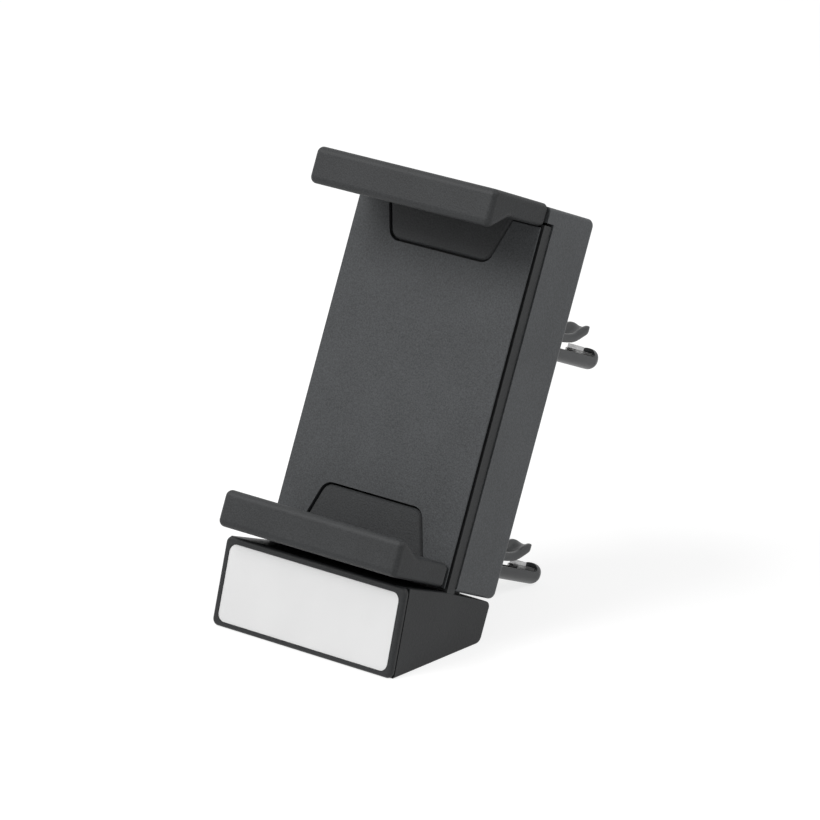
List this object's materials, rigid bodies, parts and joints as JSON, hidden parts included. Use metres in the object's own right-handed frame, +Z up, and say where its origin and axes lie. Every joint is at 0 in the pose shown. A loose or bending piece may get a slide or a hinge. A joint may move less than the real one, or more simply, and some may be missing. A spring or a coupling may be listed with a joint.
{
  "type": "car phone holder",
  "caption": "Car phone holder on a leaning body with a wedge foot, a fixed lower jaw, a sprung sliding upper jaw and hinged vent clips on the back.",
  "frame": {"origin": "middle of the flat underside of the wedge foot, on the surface it stands on", "axes": "+X to the viewer's right, -Y to the front where the phone goes, +Z up"},
  "size_m": [0.0404, 0.0695, 0.0791],
  "materials": {
    "textured_plastic": "fine texture, matte",
    "soft_touch_plastic": "soft-touch, matte",
    "white_insert": "satin white",
    "dark_nylon": "matte",
    "clip_plastic": "satin",
    "clear_rubber": "translucent, satin",
    "spring_steel": "bright drawn wire",
    "screw_steel": "zinc-plated"
  },
  "bodies": {
    "body": {"base_frame": "textured_plastic", "rear_housing": "textured_plastic", "face_panel": "soft_touch_plastic", "front_bezel": "textured_plastic", "front_insert": "white_insert", "lower_jaw": "soft_touch_plastic", "left_tension_spring": "spring_steel", "right_tension_spring": "spring_steel", "housing_screws": "screw_steel", "lower_jaw_screws": "screw_steel", "clip_screws": "screw_steel", "upper_left_claw": "clip_plastic", "upper_left_hinge_pin": "screw_steel", "upper_left_torsion_spring": "spring_steel", "upper_right_claw": "clip_plastic", "upper_right_hinge_pin": "screw_steel", "upper_right_torsion_spring": "spring_steel", "lower_left_claw": "clip_plastic", "lower_left_hinge_pin": "screw_steel", "lower_left_torsion_spring": "spring_steel", "lower_right_claw": "clip_plastic", "lower_right_hinge_pin": "screw_steel", "lower_right_torsion_spring": "spring_steel"},
    "jaw_carriage": {"upper_jaw": "soft_touch_plastic", "jaw_slider": "dark_nylon", "slider_screws": "screw_steel"},
    "upper_left_lever_set": {"upper_left_lever": "clip_plastic", "upper_left_pad": "clear_rubber"},
    "upper_right_lever_set": {"upper_right_lever": "clip_plastic", "upper_right_pad": "clear_rubber"},
    "lower_left_lever_set": {"lower_left_lever": "clip_plastic", "lower_left_pad": "clear_rubber"},
    "lower_right_lever_set": {"lower_right_lever": "clip_plastic", "lower_right_pad": "clear_rubber"}
  },
  "joints": [
    {"name": "upper_jaw_slide", "type": "slide", "parent": "body", "child": "jaw_carriage", "axis": [0, 0.3955, 0.9184], "range_m": [0, 0.027], "stiffness_N_per_m": 90, "springref_m": -0.03, "deforming": ["left_tension_spring", "right_tension_spring"]},
    {"name": "upper_left_lever_hinge", "type": "hinge", "parent": "body", "child": "upper_left_lever_set", "pos_m": [-0.007, 0.03919, 0.04382], "axis": [-1, 0, 0], "range_deg": [-1.4, 20], "stiffness_Nm_per_rad": 0.05, "deforming": ["upper_left_torsion_spring"]},
    {"name": "upper_right_lever_hinge", "type": "hinge", "parent": "body", "child": "upper_right_lever_set", "pos_m": [0.007, 0.03919, 0.04382], "axis": [-1, 0, 0], "range_deg": [-1.4, 20], "stiffness_Nm_per_rad": 0.05, "deforming": ["upper_right_torsion_spring"]},
    {"name": "lower_left_lever_hinge", "type": "hinge", "parent": "body", "child": "lower_left_lever_set", "pos_m": [-0.007, 0.0236, 0.00764], "axis": [-1, 0, 0], "range_deg": [0, 22.35], "stiffness_Nm_per_rad": 0.05, "springref_deg": 2.35, "deforming": ["lower_left_torsion_spring"]},
    {"name": "lower_right_lever_hinge", "type": "hinge", "parent": "body", "child": "lower_right_lever_set", "pos_m": [0.007, 0.0236, 0.00764], "axis": [-1, 0, 0], "range_deg": [0, 22.35], "stiffness_Nm_per_rad": 0.05, "springref_deg": 2.35, "deforming": ["lower_right_torsion_spring"]}
  ]
}
